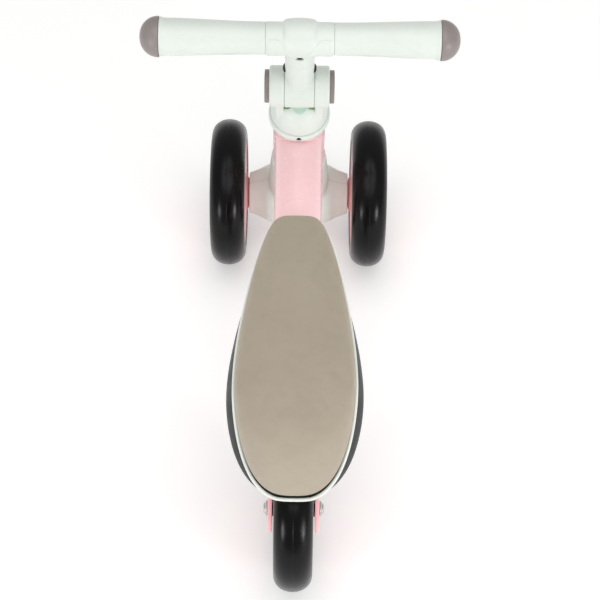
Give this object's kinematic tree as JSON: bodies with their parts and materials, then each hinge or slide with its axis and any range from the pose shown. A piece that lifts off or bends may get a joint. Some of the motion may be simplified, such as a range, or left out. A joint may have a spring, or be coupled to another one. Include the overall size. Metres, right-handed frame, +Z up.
{
  "type": "balance bike",
  "caption": "Small toddler balance bike with paired steered front wheels, a single rear wheel, a padded pear-shaped seat and a handlebar that folds at a push-button hinge.",
  "frame": {"origin": "on the ground, midway between the front and rear axles, in the middle plane", "axes": "+Y forward along the bike, +X to the rider's right, +Z up"},
  "size_m": [0.3, 0.554, 0.4036],
  "materials": {
    "pink_paint": "smooth glossy paint on welded steel",
    "nylon": "moulded nylon",
    "black_steel": "black oxide",
    "charcoal_plastic": "fine moulded grain",
    "board": "plain moulded board, hidden",
    "white_trim": "smooth moulded bead",
    "taupe_cover": "soft synthetic leather cover over foam",
    "zinc": "zinc plated",
    "steel": "plain steel",
    "black_plastic": "moulded",
    "mint_plastic": "satin moulded plastic",
    "grey_plastic": "satin moulded plastic",
    "green_plastic": "satin moulded plastic",
    "tyre": "solid smooth tyre with a fine mould seam",
    "pink_plastic": "moulded wheel core"
  },
  "bodies": {
    "frame": {"head_tube": "pink_paint", "main_tube": "pink_paint", "yoke_bridge": "pink_paint", "dropout_left": "pink_paint", "dropout_right": "pink_paint", "bush_upper": "nylon", "bush_lower": "nylon", "seat_bracket_front": "black_steel", "seat_bracket_rear": "black_steel", "seat_pan": "charcoal_plastic", "seat_board": "board", "seat_trim": "white_trim", "seat_cushion": "taupe_cover", "seat_bolt_front": "zinc", "seat_bolt_rear": "zinc", "rear_axle": "steel", "rear_dome_nut_left": "zinc", "rear_dome_nut_right": "zinc", "rear_spacer_left": "black_plastic", "rear_spacer_right": "black_plastic"},
    "fork": {"fork_core": "steel", "fork_shell_front": "mint_plastic", "fork_shell_rear": "mint_plastic", "fork_screw_left": "black_steel", "fork_screw_right": "black_steel", "front_axle": "steel", "front_axle_nut_left": "zinc", "front_axle_nut_right": "zinc", "headset_collar": "mint_plastic", "collar_screw": "black_steel", "hinge_base": "mint_plastic", "hinge_pin": "steel", "button_spring_left": "zinc", "button_spring_right": "zinc"},
    "button_left": {"button_left": "grey_plastic"},
    "button_right": {"button_right": "grey_plastic"},
    "pawl_left": {"lock_pawl_left": "green_plastic"},
    "pawl_right": {"lock_pawl_right": "green_plastic"},
    "handlebar": {"stem": "mint_plastic", "stem_core": "steel", "stem_rivet": "black_steel", "bar_clamp": "mint_plastic", "clamp_screw": "black_steel", "bar_tube": "steel", "grip_left": "mint_plastic", "grip_right": "mint_plastic", "end_cap_left": "grey_plastic", "end_cap_right": "grey_plastic"},
    "wheel_left": {"tyre_left": "tyre", "rim_left": "pink_plastic", "bearings_left": "zinc", "wheel_cap_left": "pink_plastic"},
    "wheel_right": {"tyre_right": "tyre", "rim_right": "pink_plastic", "bearings_right": "zinc", "wheel_cap_right": "pink_plastic"},
    "wheel_rear": {"tyre_rear": "tyre", "rim_rear": "pink_plastic", "bearings_rear": "zinc", "wheel_cap_rear": "pink_plastic"}
  },
  "joints": [
    {"name": "steering", "type": "hinge", "parent": "frame", "child": "fork", "pos_m": [0, 0.197, 0.08], "axis": [0, -0.2079, 0.9781], "range_deg": [-35, 35]},
    {"name": "handlebar_fold", "type": "hinge", "parent": "fork", "child": "handlebar", "pos_m": [0, 0.15022, 0.30008], "axis": [1, 0, 0], "range_deg": [0, 90]},
    {"name": "button_left_press", "type": "slide", "parent": "fork", "child": "button_left", "axis": [1, 0, 0], "range_m": [0, 0.003], "stiffness_N_per_m": 600, "springref_m": -0.005, "deforming": ["button_spring_left"]},
    {"name": "button_right_press", "type": "slide", "parent": "fork", "child": "button_right", "axis": [-1, 0, 0], "range_m": [0, 0.003], "stiffness_N_per_m": 600, "springref_m": -0.005, "deforming": ["button_spring_right"]},
    {"name": "pawl_left_drop", "type": "slide", "parent": "fork", "child": "pawl_left", "axis": [0, 0.2079, -0.9781], "range_m": [0, 0.0022]},
    {"name": "pawl_right_drop", "type": "slide", "parent": "fork", "child": "pawl_right", "axis": [0, 0.2079, -0.9781], "range_m": [0, 0.0022]},
    {"name": "wheel_left_spin", "type": "hinge", "parent": "fork", "child": "wheel_left", "pos_m": [-0.0758, 0.197, 0.08], "axis": [1, 0, 0], "continuous": true},
    {"name": "wheel_right_spin", "type": "hinge", "parent": "fork", "child": "wheel_right", "pos_m": [0.0758, 0.197, 0.08], "axis": [1, 0, 0], "continuous": true},
    {"name": "wheel_rear_spin", "type": "hinge", "parent": "frame", "child": "wheel_rear", "pos_m": [0, -0.197, 0.08], "axis": [1, 0, 0], "continuous": true}
  ],
  "couplings": [
    {"joint": "pawl_left_drop", "follows": "button_left_press", "ratio": 0.7},
    {"joint": "pawl_right_drop", "follows": "button_right_press", "ratio": 0.7}
  ]
}
